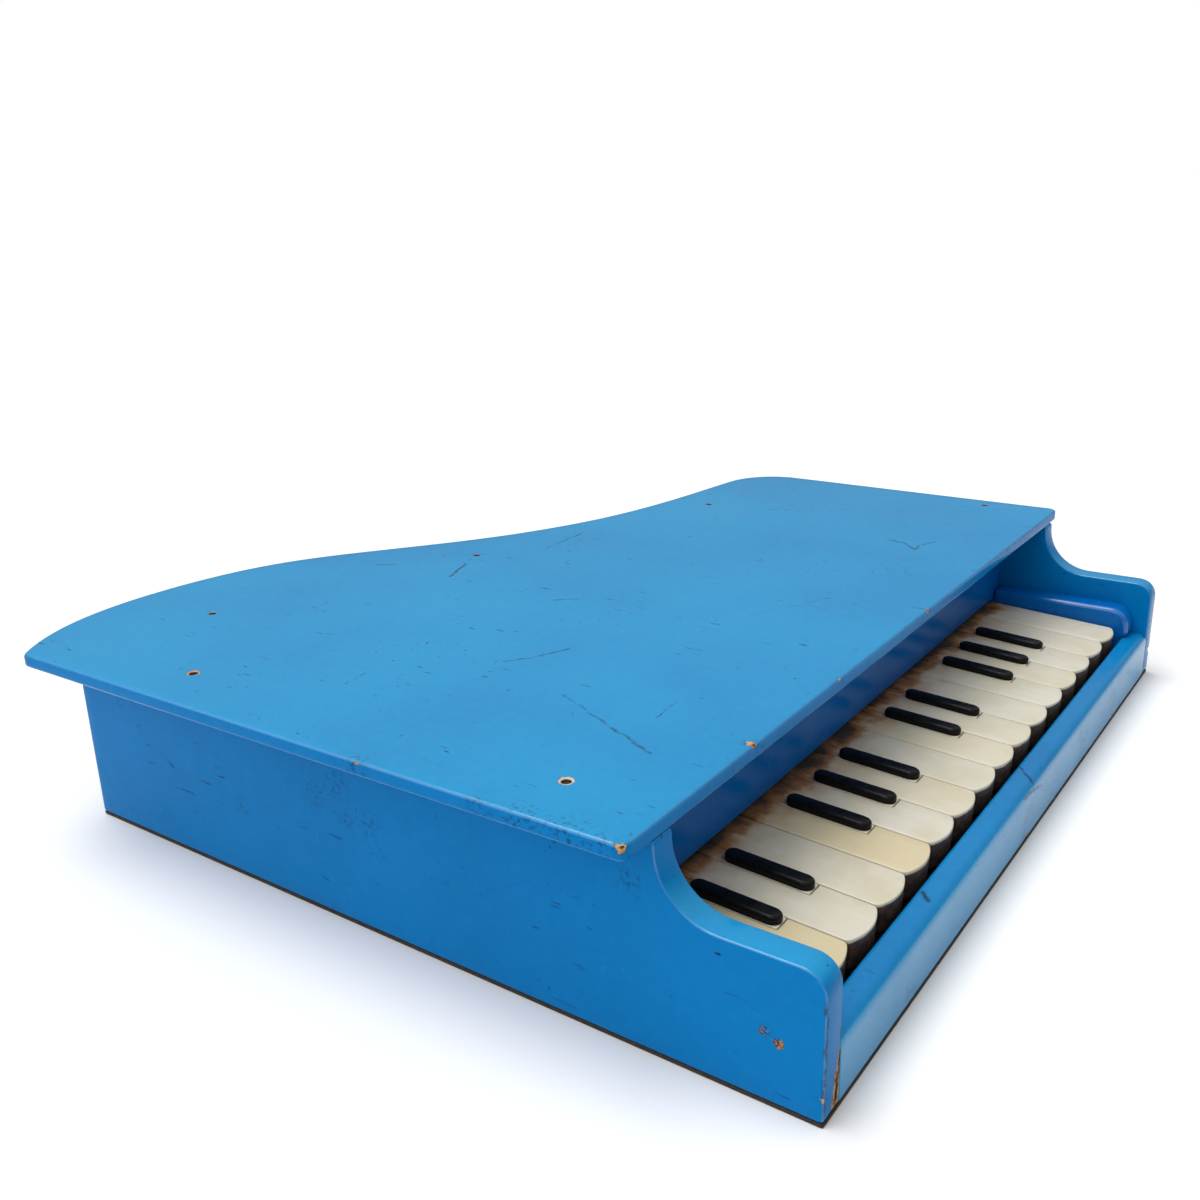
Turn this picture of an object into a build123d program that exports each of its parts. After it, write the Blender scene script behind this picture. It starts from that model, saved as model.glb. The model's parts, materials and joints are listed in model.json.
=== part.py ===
# Toy grand piano: a low wooden case with a playable two-octave keyboard.
# Millimetres. While building, X runs along the keyboard, Y from front to back, Z up, with the
# case's front left bottom corner at zero; place() then puts the origin at the middle of the base.
from build123d import *
import math
import os

# ---------------------------------------------------------------- driving dimensions
KEY_PITCH = 22.0            # white key spacing
WHITE_KEYS = 15             # C to C over two octaves
SHARP_AFTER = [1, 2, 4, 5, 6, 8, 9, 11, 12, 13]   # white keys that have a black key on their right

BOARD = 10.0                # side boards, front rail and back panel
BASE_T = 1.4                # fibreboard base
LID_TOP = 75.8              # height of the whole object
LID_T = 5.5
LID_UNDER = LID_TOP - LID_T
BLOCK_W = 11.5              # key blocks beside the end keys
BLOCK_GAP = 0.75            # air between a key block and the end key
KEYS_X0 = BOARD + BLOCK_W + BLOCK_GAP
CASE_W = 2 * KEYS_X0 + WHITE_KEYS * KEY_PITCH
INNER_L = BOARD
INNER_R = CASE_W - BOARD

LEFT_DEPTH = 322.0          # length of the left side board
RIGHT_DEPTH = 197.0         # length of the right side board
PANEL_Y0 = 322.8            # back panel's outer face at x = 0
PANEL_SLOPE = -0.352        # its fall in y for each millimetre of x

CHEEK_TOP = 48.0            # top of the arm in front of the lid
CHEEK_COVE_R = 20.0
CHEEK_BACK = 52.3           # where the cove meets the lid
CHEEK_NOSE_R = 7.5
SOFT_EDGE = 1.2             # sanded arris on the boards

RAIL_T = 9.5                # front rail
RAIL_TOP = 23.0
RAIL_NOSE_R = 4.0
BLOCK_TOP = 37.0
BLOCK_FRONT = 7.0
BLOCK_NOSE_R = 8.0
BLOCK_BACK = 112.0

FALLBOARD_Y = 73.0
FALLBOARD_T = 8.0
FALLBOARD_BOTTOM = 32.2

# lid outline: the straight spine side leans out a little towards the tail
LID_FRONT = 52.5
LID_LEFT_FRONT = -14.0
LID_LEFT_BACK = -18.5
LID_RIGHT = 382.0
LID_TAIL_Y = 327.0
LID_CURVE = [(8, 342.2), (58, 347.2), (115, 333), (165, 298), (215, 264.5), (265, 244), (315, 234.2)]
LID_SHOULDER = (356, 229)     # the S-curve ends here in one arc that turns down the right side
LID_SHOULDER_END = (LID_RIGHT, 203)
LID_CORNER_R = 2.5          # the two front corners
LID_EDGE_R = 1.4
LID_SCREWS = [(8.2, 87.6), (4.0, 253.2), (50.5, 302), (170, 260.3), (305, 212.8), (372, 86.5)]

# keys, in a frame whose origin is the pivot: y forward is negative, z up
PIVOT_Y = 100.0
PIVOT_Z = 27.1
# a key turns 3.5 degrees about the rod when pressed, which moves its tip 5.5 mm
KEY_TILT = 3.2              # degrees that a key at rest slopes up towards the back
KEY_H = 11.0
KEY_TOP = KEY_H / 2
KEY_GAP = 0.6               # air between two white keys
KEY_TIP = -88.7             # tip of the rounded front
KEY_ROUND = 2.9             # depth of the rounded front
KEY_TAIL = 58.0
NOTCH_Y = -66.6             # front of the notch beside a black key
NOTCH_W = 7.3               # notch width, measured from the nominal boundary
SHARP_W = 6.2
SHARP_MID = -3.7            # black key's middle, left of the boundary
SHARP_TIP = -65.8
CAP_TIP = -65.8
CAP_BACK = -34.6
CAP_W = 6.4
CAP_H = 3.0
ROD_R = 2.0
ROD_BORE_R = 2.06
GUIDE_Y = -59.0
GUIDE_PIN_R = 0.9
GUIDE_SLOT = (2.8, 8.0, 9.0)
SPRING_Y = -44.0
SPRING_R = 2.7
SPRING_WALL = 0.7
HAMMER_Y = 53.0
HAMMER_R = 2.6
HAMMER_H = 9.8
TIP_H = 2.0

STOP_RAIL = (36.0, 46.0)    # rail under the key fronts, from and to in y
STOP_TOP = 13.8
REST_RAIL = (148.0, 157.0)
REST_TOP = 23.9
FELT_T = 1.2

# tone bars: the bass bar is the longest, and both rails pass under the bars' still points
BAR_RAIL_Y = 138.0
BAR_RAIL_W = 8.0
BAR_RAIL_Z = (39.0, 50.0)
BAR_W = 8.0
BAR_T = 2.0
BAR_BASS = 120.0
BAR_FALL = 64.0 / 315.0     # millimetres shorter for each millimetre to the right
BAR_X0 = 30.0
STILL_POINT = 0.224         # where a free bar doesn't move, as a share of its length
BAR_PIN_R = 1.0
BAR_HOLE_R = 1.5

NAIL_R = 0.8
NAIL_HEAD_R = 1.7
NAIL_HEAD_T = 0.6
NAIL_L = 22.0
CLEAR = 0.05                # air round a nail or screw in its hole

parts = {}


# ---------------------------------------------------------------- small helpers
def outline_yz(lines, x, thickness):
    """A board whose outline is drawn in the YZ plane, from x to x + thickness."""
    plane = Plane(origin=(x, 0, 0), x_dir=(0, 1, 0), z_dir=(1, 0, 0))
    return extrude(plane * make_face(lines), thickness)


def outline_xy(lines, z, thickness):
    return extrude(Plane.XY.offset(z) * make_face(lines), thickness)


def block(x, y, z):
    """A box given by its (from, to) pairs."""
    size = [b - a for a, b in (x, y, z)]
    return Pos(x[0], y[0], z[0]) * Box(*size, align=(Align.MIN, Align.MIN, Align.MIN))


def rod_z(x, y, r, z0, z1):
    return Pos(x, y, z0) * Cylinder(r, z1 - z0, align=(Align.CENTER, Align.CENTER, Align.MIN))


def rod_x(y, z, r, x0, x1):
    return Pos(x0, y, z) * Rot(0, 90, 0) * Cylinder(r, x1 - x0, align=(Align.CENTER, Align.CENTER, Align.MIN))


def group(solids):
    return Compound(children=[s if isinstance(s, Solid) else s.solid() for s in solids])


def drill(names, holes):
    """Cut every hole from every named part that it reaches."""
    for name in names:
        box = parts[name].bounding_box()
        near = [h for h in holes if box.overlaps(h.bounding_box())]
        if near:
            parts[name] = parts[name] - near


def panel_y(x, inside=0.0):
    """The back panel's face at x, moved inwards by a distance square to the panel."""
    return PANEL_Y0 + PANEL_SLOPE * x - inside * math.hypot(1, PANEL_SLOPE)


# ---------------------------------------------------------------- where the keys and bars are
def boundary(i):
    """The line on the right of white key i; boundary(0) is the keyboard's left end."""
    return KEYS_X0 + i * KEY_PITCH


def white_rear_mid(i):
    """Middle of white key i's rear part, which is narrow beside a black key."""
    right = boundary(i) - (NOTCH_W if i in SHARP_AFTER else KEY_GAP / 2)
    return (boundary(i - 1) + KEY_GAP / 2 + right) / 2


def black_mid(i):
    return boundary(i) + SHARP_MID


LEVER_X = sorted([white_rear_mid(i) for i in range(1, WHITE_KEYS + 1)] + [black_mid(i) for i in SHARP_AFTER])


def bar_length(x):
    return BAR_BASS - (x - BAR_X0) * BAR_FALL


def rear_support_y(x):
    return BAR_RAIL_Y + (1 - 2 * STILL_POINT) * bar_length(x)


# ---------------------------------------------------------------- case boards
def side_board(x, depth):
    """A side board with the curved cheek at its front, and sanded edges."""
    cove_y = CHEEK_BACK - CHEEK_COVE_R
    cove_z = CHEEK_TOP + CHEEK_COVE_R
    nose_z = CHEEK_TOP - CHEEK_NOSE_R
    lines = (
        Line((0, BASE_T), (0, nose_z))
        + RadiusArc((0, nose_z), (CHEEK_NOSE_R, CHEEK_TOP), CHEEK_NOSE_R)
        + Line((CHEEK_NOSE_R, CHEEK_TOP), (cove_y, CHEEK_TOP))
        + RadiusArc((cove_y, CHEEK_TOP), (CHEEK_BACK, cove_z), -CHEEK_COVE_R)
        + Polyline((CHEEK_BACK, cove_z), (CHEEK_BACK, LID_UNDER), (depth, LID_UNDER), (depth, BASE_T), (0, BASE_T))
    )
    board = outline_yz(lines, x, BOARD)
    cheek = [
        e for e in board.edges()
        if e.center().Y < CHEEK_BACK - 0.1 and e.center().Z > BASE_T + 1
        and min(abs(e.center().X - x), abs(e.center().X - x - BOARD)) < 0.01
    ]
    return fillet(cheek, SOFT_EDGE)


def front_rail():
    lines = (
        Line((0, BASE_T), (0, RAIL_TOP - RAIL_NOSE_R))
        + RadiusArc((0, RAIL_TOP - RAIL_NOSE_R), (RAIL_NOSE_R, RAIL_TOP), RAIL_NOSE_R)
        + Polyline((RAIL_NOSE_R, RAIL_TOP), (RAIL_T, RAIL_TOP), (RAIL_T, BASE_T), (0, BASE_T))
    )
    return outline_yz(lines, INNER_L, INNER_R - INNER_L)


def key_block(x, key_side):
    """A block beside the end key: its nose rides over the rail and its tail holds the pivot rod."""
    lines = (
        Polyline((RAIL_T, BASE_T), (RAIL_T, RAIL_TOP), (BLOCK_FRONT, RAIL_TOP), (BLOCK_FRONT, BLOCK_TOP - BLOCK_NOSE_R))
        + RadiusArc((BLOCK_FRONT, BLOCK_TOP - BLOCK_NOSE_R), (BLOCK_FRONT + BLOCK_NOSE_R, BLOCK_TOP), BLOCK_NOSE_R)
        + Polyline(
            (BLOCK_FRONT + BLOCK_NOSE_R, BLOCK_TOP), (FALLBOARD_Y, BLOCK_TOP), (FALLBOARD_Y, FALLBOARD_BOTTOM),
            (BLOCK_BACK, FALLBOARD_BOTTOM), (BLOCK_BACK, BASE_T), (RAIL_T, BASE_T),
        )
    )
    solid = outline_yz(lines, x, BLOCK_W)
    soft = [
        e for e in solid.edges()
        if abs(e.center().X - key_side) < 0.01 and e.center().Y < FALLBOARD_Y - 1 and e.center().Z > RAIL_TOP + 1
    ]
    solid = fillet(soft, 3.0)
    return solid - rod_x(PIVOT_Y, PIVOT_Z, ROD_BORE_R, x - 1, x + BLOCK_W + 1)


def lid():
    tail = (LID_LEFT_BACK, LID_TAIL_Y)
    curve = Spline(tail, *LID_CURVE, LID_SHOULDER)
    shoulder = TangentArc(LID_SHOULDER, LID_SHOULDER_END, tangent=curve % 1)
    straight = Polyline(LID_SHOULDER_END, (LID_RIGHT, LID_FRONT), (LID_LEFT_FRONT, LID_FRONT), tail)
    board = outline_xy(curve + shoulder + straight, LID_UNDER, LID_T)
    front = [e for e in board.edges().filter_by(Axis.Z) if e.center().Y < LID_FRONT + 1]
    board = fillet(front, LID_CORNER_R)
    for side in (-1, 0):
        board = fillet(board.faces().sort_by(Axis.Z)[side].edges(), LID_EDGE_R)
    return board


parts["left_side"] = side_board(0, LEFT_DEPTH)
parts["right_side"] = side_board(INNER_R, RIGHT_DEPTH)
parts["front_rail"] = front_rail()
parts["left_key_block"] = key_block(INNER_L, INNER_L + BLOCK_W)
parts["right_key_block"] = key_block(INNER_R - BLOCK_W, INNER_R - BLOCK_W)
parts["fallboard"] = block(
    (INNER_L, INNER_R), (FALLBOARD_Y, FALLBOARD_Y + FALLBOARD_T), (FALLBOARD_BOTTOM, LID_UNDER)
)
parts["back_panel"] = outline_xy(
    Polyline(
        (INNER_L, panel_y(INNER_L)), (INNER_R, panel_y(INNER_R)),
        (INNER_R, panel_y(INNER_R, BOARD)), (INNER_L, panel_y(INNER_L, BOARD)), (INNER_L, panel_y(INNER_L)),
    ),
    BASE_T, LID_UNDER - BASE_T,
)
parts["base_board"] = outline_xy(
    Polyline((0, 0), (CASE_W, 0), (CASE_W, RIGHT_DEPTH), (INNER_R, RIGHT_DEPTH), (INNER_L, LEFT_DEPTH),
             (0, LEFT_DEPTH), (0, 0)),
    0, BASE_T,
)
parts["lid"] = lid()

# square glue blocks in the four inner corners
GLUE = 14.0
glue_low = (BASE_T, 36.0)
glue_high = (FALLBOARD_BOTTOM + 8, LID_UNDER)
behind_board = (FALLBOARD_Y + FALLBOARD_T, FALLBOARD_Y + FALLBOARD_T + GLUE)
tail_y = panel_y(INNER_L + GLUE, BOARD) - 0.2
right_y = panel_y(INNER_R, BOARD) - 0.2
parts["corner_blocks"] = group([
    block((INNER_L, INNER_L + GLUE), (tail_y - GLUE, tail_y), glue_low),
    block((INNER_R - GLUE, INNER_R), (right_y - GLUE, right_y), glue_low),
    block((INNER_L, INNER_L + GLUE), behind_board, glue_high),
    block((INNER_R - GLUE, INNER_R), behind_board, glue_high),
])

# ---------------------------------------------------------------- key bed
KEYBED_X = (INNER_L + BLOCK_W, INNER_R - BLOCK_W)
parts["pivot_rod"] = rod_x(PIVOT_Y, PIVOT_Z, ROD_R, INNER_L + 1, INNER_R - 1)
parts["key_stop_rail"] = block(KEYBED_X, STOP_RAIL, (BASE_T, STOP_TOP - FELT_T))
parts["key_stop_felt"] = block(KEYBED_X, STOP_RAIL, (STOP_TOP - FELT_T, STOP_TOP))
parts["key_rest_rail"] = block((INNER_L, INNER_R), REST_RAIL, (BASE_T, REST_TOP - FELT_T))
parts["key_rest_felt"] = block((INNER_L, INNER_R), REST_RAIL, (REST_TOP - FELT_T, REST_TOP))


def key_floor(y):
    """Height of a resting key's underside at y, measured from the pivot along the key."""
    return PIVOT_Z - KEY_TOP * math.cos(math.radians(KEY_TILT)) + y * math.sin(math.radians(KEY_TILT))


GUIDE_TOP = STOP_TOP + 8.2
GUIDE_FOOT = BASE_T + 2
guide_pins = []
guide_holes = []
springs = []
for x in LEVER_X:
    guide_y = PIVOT_Y + GUIDE_Y
    guide_pins.append(rod_z(x, guide_y, GUIDE_PIN_R, GUIDE_FOOT, GUIDE_TOP))
    guide_holes.append(rod_z(x, guide_y, GUIDE_PIN_R + CLEAR, GUIDE_FOOT, STOP_TOP + 1))
    spring_y = PIVOT_Y + SPRING_Y
    spring_top = key_floor(SPRING_Y) - 0.5
    coil = rod_z(x, spring_y, SPRING_R, BASE_T, spring_top)
    springs.append(coil - rod_z(x, spring_y, SPRING_R - SPRING_WALL, BASE_T - 1, spring_top + 1))
drill(["key_stop_rail", "key_stop_felt"], guide_holes)
parts["key_guide_pins"] = group(guide_pins)
parts["key_return_springs"] = group(springs)


# ---------------------------------------------------------------- keys
def set_key(solid):
    """From the pivot's frame to the case's."""
    return Pos(0, PIVOT_Y, PIVOT_Z) * Rot(KEY_TILT, 0, 0) * solid


def hammer(x):
    foot = KEY_TOP
    post = rod_z(x, HAMMER_Y, HAMMER_R, foot, foot + HAMMER_H)
    tip = rod_z(x, HAMMER_Y, HAMMER_R + 0.3, foot + HAMMER_H, foot + HAMMER_H + TIP_H)
    return [post, fillet(tip.edges().group_by(Axis.Z)[-1], 1.0)]


def lever_holes(x, body):
    slot_w, slot_l, slot_h = GUIDE_SLOT
    body -= rod_x(0, 0, ROD_BORE_R, x - KEY_PITCH, x + KEY_PITCH)
    return body - block(
        (x - slot_w / 2, x + slot_w / 2), (GUIDE_Y - slot_l / 2, GUIDE_Y + slot_l / 2),
        (-KEY_TOP - 1, -KEY_TOP + slot_h),
    )


def white_key(i):
    left = boundary(i - 1) + KEY_GAP / 2
    right = boundary(i) - KEY_GAP / 2
    shoulder = KEY_TIP + KEY_ROUND
    rear = boundary(i) - NOTCH_W if i in SHARP_AFTER else right
    front = ThreePointArc((left, shoulder), ((left + right) / 2, KEY_TIP), (right, shoulder))
    corners = [(right, shoulder)]
    if i in SHARP_AFTER:
        corners += [(right, NOTCH_Y), (rear, NOTCH_Y)]
    corners += [(rear, KEY_TAIL), (left, KEY_TAIL), (left, shoulder)]
    body = outline_xy(front + Polyline(*corners), -KEY_TOP, KEY_H)
    sides = [e for e in body.edges().filter_by(Axis.Z) if abs(e.center().Y - shoulder) < 0.01]
    body = fillet(sides, 2.0)
    x = white_rear_mid(i)
    return [set_key(s) for s in [lever_holes(x, body)] + hammer(x)]


def black_lever(i):
    x = black_mid(i)
    body = block((x - SHARP_W / 2, x + SHARP_W / 2), (SHARP_TIP, KEY_TAIL), (-KEY_TOP, KEY_TOP))
    return [set_key(s) for s in [lever_holes(x, body)] + hammer(x)]


def black_cap(i):
    """A low cap with a round nose and tail in plan and a rounded top edge."""
    length = CAP_BACK - CAP_TIP
    blank = extrude(Plane.XY.offset(KEY_TOP) * SlotOverall(length, CAP_W, rotation=90), CAP_H)
    blank = fillet(blank.edges().group_by(Axis.Z)[-1], 1.3)
    return set_key(Pos(black_mid(i), (CAP_TIP + CAP_BACK) / 2, 0) * blank)


for i in range(1, WHITE_KEYS + 1):
    parts[f"white_key_{i:02d}"] = group(white_key(i))
for n, i in enumerate(SHARP_AFTER, start=1):
    parts[f"black_key_{n:02d}"] = group(black_lever(i))
    parts[f"black_cap_{n:02d}"] = black_cap(i)

# ---------------------------------------------------------------- tone bars
BAR_Z = BAR_RAIL_Z[1] + FELT_T
half_rail = BAR_RAIL_W / 2


def rear_strip(z, thickness):
    """A strip under the bars' rear still points, from side board to side board."""
    a, b = rear_support_y(INNER_L), rear_support_y(INNER_R)
    return outline_xy(
        Polyline((INNER_L, a - half_rail), (INNER_R, b - half_rail), (INNER_R, b + half_rail),
                 (INNER_L, a + half_rail), (INNER_L, a - half_rail)),
        z, thickness,
    )


bar_y = (BAR_RAIL_Y - half_rail, BAR_RAIL_Y + half_rail)
parts["front_bar_rail"] = block((INNER_L, INNER_R), bar_y, BAR_RAIL_Z)
parts["rear_bar_rail"] = rear_strip(BAR_RAIL_Z[0], BAR_RAIL_Z[1] - BAR_RAIL_Z[0])
front_felt = block((INNER_L, INNER_R), bar_y, (BAR_RAIL_Z[1], BAR_Z))
rear_felt = rear_strip(BAR_RAIL_Z[1], FELT_T)
PIN_FOOT = BAR_RAIL_Z[0] + 3
PIN_HEAD = BAR_Z + BAR_T + 0.6
bars = []
bar_pins = []
pin_holes = []
for x in LEVER_X:
    length = bar_length(x)
    start = BAR_RAIL_Y - STILL_POINT * length
    bar = block((x - BAR_W / 2, x + BAR_W / 2), (start, start + length), (BAR_Z, BAR_Z + BAR_T))
    for y in (BAR_RAIL_Y, rear_support_y(x)):
        bar -= rod_z(x, y, BAR_HOLE_R, BAR_Z - 1, BAR_Z + BAR_T + 1)
        pin_holes.append(rod_z(x, y, BAR_PIN_R + CLEAR, PIN_FOOT, BAR_Z + 1))
        bar_pins.append(
            rod_z(x, y, BAR_PIN_R, PIN_FOOT, PIN_HEAD) + rod_z(x, y, 2 * BAR_PIN_R + 0.2, PIN_HEAD, PIN_HEAD + 0.8)
        )
    bars.append(bar)
parts["tone_bars"] = group(bars)
parts["tone_bar_pins"] = group(bar_pins)
parts["tone_bar_felts"] = group([front_felt - pin_holes[::2], rear_felt - pin_holes[1::2]])
drill(["front_bar_rail", "rear_bar_rail"], pin_holes)

# ---------------------------------------------------------------- fasteners
SCREW_R = 1.2
SCREW_HEAD_R = 2.0
SCREW_HEAD_H = 1.6
SCREW_L = 18.0
HEAD_SINK = 1.2             # how far a screw's head sits below the lid
PIT_R = 2.8                 # mouth of the countersunk pit over a screw


def lid_screw(x, y, air=0.0):
    """A countersunk wood screw; with air it is the hole that the screw leaves."""
    top = LID_TOP - HEAD_SINK
    shank = rod_z(x, y, SCREW_R + air, LID_TOP - SCREW_L - air, top - SCREW_HEAD_H + 0.1)
    cone = Pos(x, y, top - SCREW_HEAD_H) * Cone(
        SCREW_R + air, SCREW_HEAD_R + air, SCREW_HEAD_H, align=(Align.CENTER, Align.CENTER, Align.MIN)
    )
    return shank + cone


def screw_slot(x, y):
    top = LID_TOP - HEAD_SINK
    return block((x - SCREW_HEAD_R, x + SCREW_HEAD_R), (y - 0.4, y + 0.4), (top - 0.7, top + 1))


screws = []
screw_holes = []
for x, y in LID_SCREWS:
    pit = Pos(x, y, LID_TOP - HEAD_SINK) * Cone(
        SCREW_HEAD_R + CLEAR, PIT_R, HEAD_SINK, align=(Align.CENTER, Align.CENTER, Align.MIN)
    )
    screw_holes.append(lid_screw(x, y, CLEAR) + pit)
    screws.append(lid_screw(x, y) - screw_slot(x, y))
drill(["lid", "left_side", "right_side", "back_panel"], screw_holes)
parts["lid_screws"] = group(screws)


def nail(air=0.0):
    """A nail with its head at the origin and its point along +Z; with air it is the nail's hole."""
    shank = Cylinder(NAIL_R + air, NAIL_L + air, align=(Align.CENTER, Align.CENTER, Align.MIN))
    head = Cylinder(NAIL_HEAD_R + air, NAIL_HEAD_T, align=(Align.CENTER, Align.CENTER, Align.MIN))
    return shank + head


# through each cheek into the key block
side_nails = [(17.9, 23.9), (13.7, 21.6)]
spots = [Pos(0, y, z) * Rot(0, 90, 0) for y, z in side_nails]
spots += [Pos(CASE_W, y, z) * Rot(0, -90, 0) for y, z in side_nails]
nailed = ["left_side", "right_side", "left_key_block", "right_key_block"]
drill(nailed, [spot * nail(CLEAR) for spot in spots])
parts["case_nails"] = group([spot * nail() for spot in spots])

base_spots = [(5, 30), (5, 140), (5, 250), (INNER_R + 5, 30), (INNER_R + 5, 110), (INNER_R + 5, 180)]
base_spots += [(x, RAIL_T / 2) for x in (90, CASE_W / 2, 285)]
base_spots += [(x, panel_y(x, BOARD / 2)) for x in (90, 190, 290)]
standing = ["base_board", "left_side", "right_side", "front_rail", "back_panel"]
drill(standing, [Pos(x, y, 0) * nail(CLEAR) for x, y in base_spots])
parts["base_nails"] = group([Pos(x, y, 0) * nail() for x, y in base_spots])


# ---------------------------------------------------------------- write the parts
def place():
    """The move that puts the origin under the middle of the whole object, at the base."""
    lid_box = parts["lid"].bounding_box()
    middle_x = (lid_box.min.X + lid_box.max.X) / 2
    return Pos(-middle_x, -lid_box.max.Y / 2, 0)


os.makedirs("parts", exist_ok=True)
MOVE = place()
for name, shape in parts.items():
    export_step(MOVE * shape, f"parts/{name}.step")
print(f"{len(parts)} nodes, origin moved by {MOVE.position.X:.3f}, {MOVE.position.Y:.3f}")
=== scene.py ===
"""The looks of a blue toy grand piano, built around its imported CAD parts. Metres, +Z up."""

import json
import math

import bmesh
import bpy
import numpy as np
from mathutils import Matrix, Vector, noise
from mathutils.geometry import delaunay_2d_cdt


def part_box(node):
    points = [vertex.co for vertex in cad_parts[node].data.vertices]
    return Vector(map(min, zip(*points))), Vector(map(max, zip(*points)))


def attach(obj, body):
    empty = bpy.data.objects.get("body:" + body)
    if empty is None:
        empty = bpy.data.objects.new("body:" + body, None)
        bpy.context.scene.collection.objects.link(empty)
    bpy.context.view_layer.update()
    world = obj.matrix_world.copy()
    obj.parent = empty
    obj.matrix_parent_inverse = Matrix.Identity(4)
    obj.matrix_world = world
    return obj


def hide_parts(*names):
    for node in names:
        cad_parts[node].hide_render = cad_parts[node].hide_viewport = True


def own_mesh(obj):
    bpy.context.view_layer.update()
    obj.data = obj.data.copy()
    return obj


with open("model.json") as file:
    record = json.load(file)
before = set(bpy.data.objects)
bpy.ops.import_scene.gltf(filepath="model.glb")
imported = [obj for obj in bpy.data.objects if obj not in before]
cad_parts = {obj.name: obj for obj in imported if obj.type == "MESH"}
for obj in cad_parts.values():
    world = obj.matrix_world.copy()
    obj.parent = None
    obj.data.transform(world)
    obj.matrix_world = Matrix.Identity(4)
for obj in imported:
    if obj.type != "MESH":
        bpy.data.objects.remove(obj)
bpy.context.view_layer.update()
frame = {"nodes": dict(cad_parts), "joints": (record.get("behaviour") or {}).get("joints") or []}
nodes = frame["nodes"]

MM = 0.001
WELD = 1e-6                          # metres within which two vertices of the CAD are one
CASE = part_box("base_board")[0]       # the case's front left bottom corner
JOINTS = {j["child"]: j for j in frame["joints"]}
WHITE_KEYS = sorted(n for n in nodes if n.startswith("white_key"))
BLACK_KEYS = sorted(n for n in nodes if n.startswith("black_key"))


def at(x, y, z):
    """A point given in millimetres from the case's front left bottom corner."""
    return CASE + Vector((x, y, z)) * MM


def middle(points, axis):
    """Halfway between the points' two extremes along an axis."""
    return (points[:, axis].min() + points[:, axis].max()) / 2


# ================================================================ reading the CAD
def loose_parts(node):
    """The separate solids of a node, each as an array of its vertices, from left to right."""
    bm = bmesh.new()
    bm.from_mesh(nodes[node].data)
    bmesh.ops.remove_doubles(bm, verts=bm.verts, dist=WELD)
    bm.verts.index_update()
    found, seen = [], set()
    for first in bm.verts:
        if first.index in seen:
            continue
        seen.add(first.index)
        stack, part = [first], []
        while stack:
            v = stack.pop()
            part.append(v.co[:])
            for e in v.link_edges:
                other = e.other_vert(v)
                if other.index not in seen:
                    seen.add(other.index)
                    stack.append(other)
        found.append(np.array(part))
    bm.free()
    return sorted(found, key=lambda p: (round(p[:, 0].mean(), 4), round(p[:, 1].mean(), 4)))


def section(node, axes, level, to_flat=None):
    """The longest closed outline where a plane cuts a node. axes are the outline's two axes, and the
    plane is square to the third, at level. to_flat turns the node's mesh first."""
    third = 3 - axes[0] - axes[1]
    normal, point = Vector((0, 0, 0)), Vector((0, 0, 0))
    normal[third], point[third] = 1, level
    bm = bmesh.new()
    bm.from_mesh(nodes[node].data)
    if to_flat is not None:
        bm.transform(to_flat)
    bmesh.ops.remove_doubles(bm, verts=bm.verts, dist=WELD)
    everything = [*bm.verts, *bm.edges, *bm.faces]
    cut = bmesh.ops.bisect_plane(bm, geom=everything, plane_co=point, plane_no=normal)["geom_cut"]
    bm.verts.index_update()
    links, place = {}, {}
    for e in cut:
        if isinstance(e, bmesh.types.BMEdge):
            for v in e.verts:
                links.setdefault(v.index, []).append(e.other_vert(v).index)
                place[v.index] = (v.co[axes[0]], v.co[axes[1]])
    bm.free()
    loops, unused = [], set(links)
    while unused:
        here = min(unused)
        loop = []
        while here is not None:
            loop.append(place[here])
            unused.discard(here)
            here = next((n for n in links[here] if n in unused), None)
        loops.append(np.array(loop))
    longest = max(loops, key=lambda p: np.linalg.norm(p - np.roll(p, 1, 0), axis=1).sum())
    x, y = longest.T
    if (x * np.roll(y, -1) - y * np.roll(x, -1)).sum() < 0:
        longest = longest[::-1]
    return np.roll(longest, -int(np.argmin(longest.sum(1))), 0)


def key_frame(name):
    """The frame of a key lever: its origin on the pivot, X along the rod, Z square to the key's top."""
    # the top falls a little towards the player, so its normal leans to the front
    tops = [
        p for p in nodes[name].data.polygons
        if p.normal.z > 0.9 and abs(p.normal.x) < 0.05 and p.normal.y < -0.02
    ]
    best = max(tops, key=lambda p: p.area)
    tilt = -math.atan2(best.normal.y, best.normal.z)
    return Matrix.Translation(Vector(JOINTS[name]["pos_m"])) @ Matrix.Rotation(tilt, 4, "X")


# ================================================================ shapes
FINER = 4                            # points that an outline is rounded on, for each one that is kept
CIRCLE_POINTS = 28
ROW_GAP = 3 * MM                     # roughly, between the rows of vertices up a board's side
BOARD_STEP = 1 * MM                  # between the points of a board's outline
STRAIGHT = 1e-3                      # a smaller turn than this, in radians, counts as none
LONG_WAVE, SHORT_WAVE = 45 * MM, 14 * MM


def even(outline, step, soften=0.0):
    """The closed outline with points evenly spaced, and its corners rounded by about soften."""
    closed = np.vstack([outline, outline[:1]])
    run = np.concatenate([[0], np.cumsum(np.linalg.norm(np.diff(closed, axis=0), axis=1))])
    count = max(12, int(round(run[-1] / step)))
    fine = np.linspace(0, run[-1], count * FINER, endpoint=False)
    points = np.stack([np.interp(fine, run, closed[:, k]) for k in (0, 1)], 1)
    if soften > 0:
        gap = run[-1] / len(fine)
        reach = int(math.ceil(3 * soften / gap))
        weights = np.exp(-0.5 * (np.arange(-reach, reach + 1) * gap / soften) ** 2)
        weights /= weights.sum()
        points = sum(w * np.roll(points, k, 0) for k, w in zip(range(-reach, reach + 1), weights))
    return points[::FINER]


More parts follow.
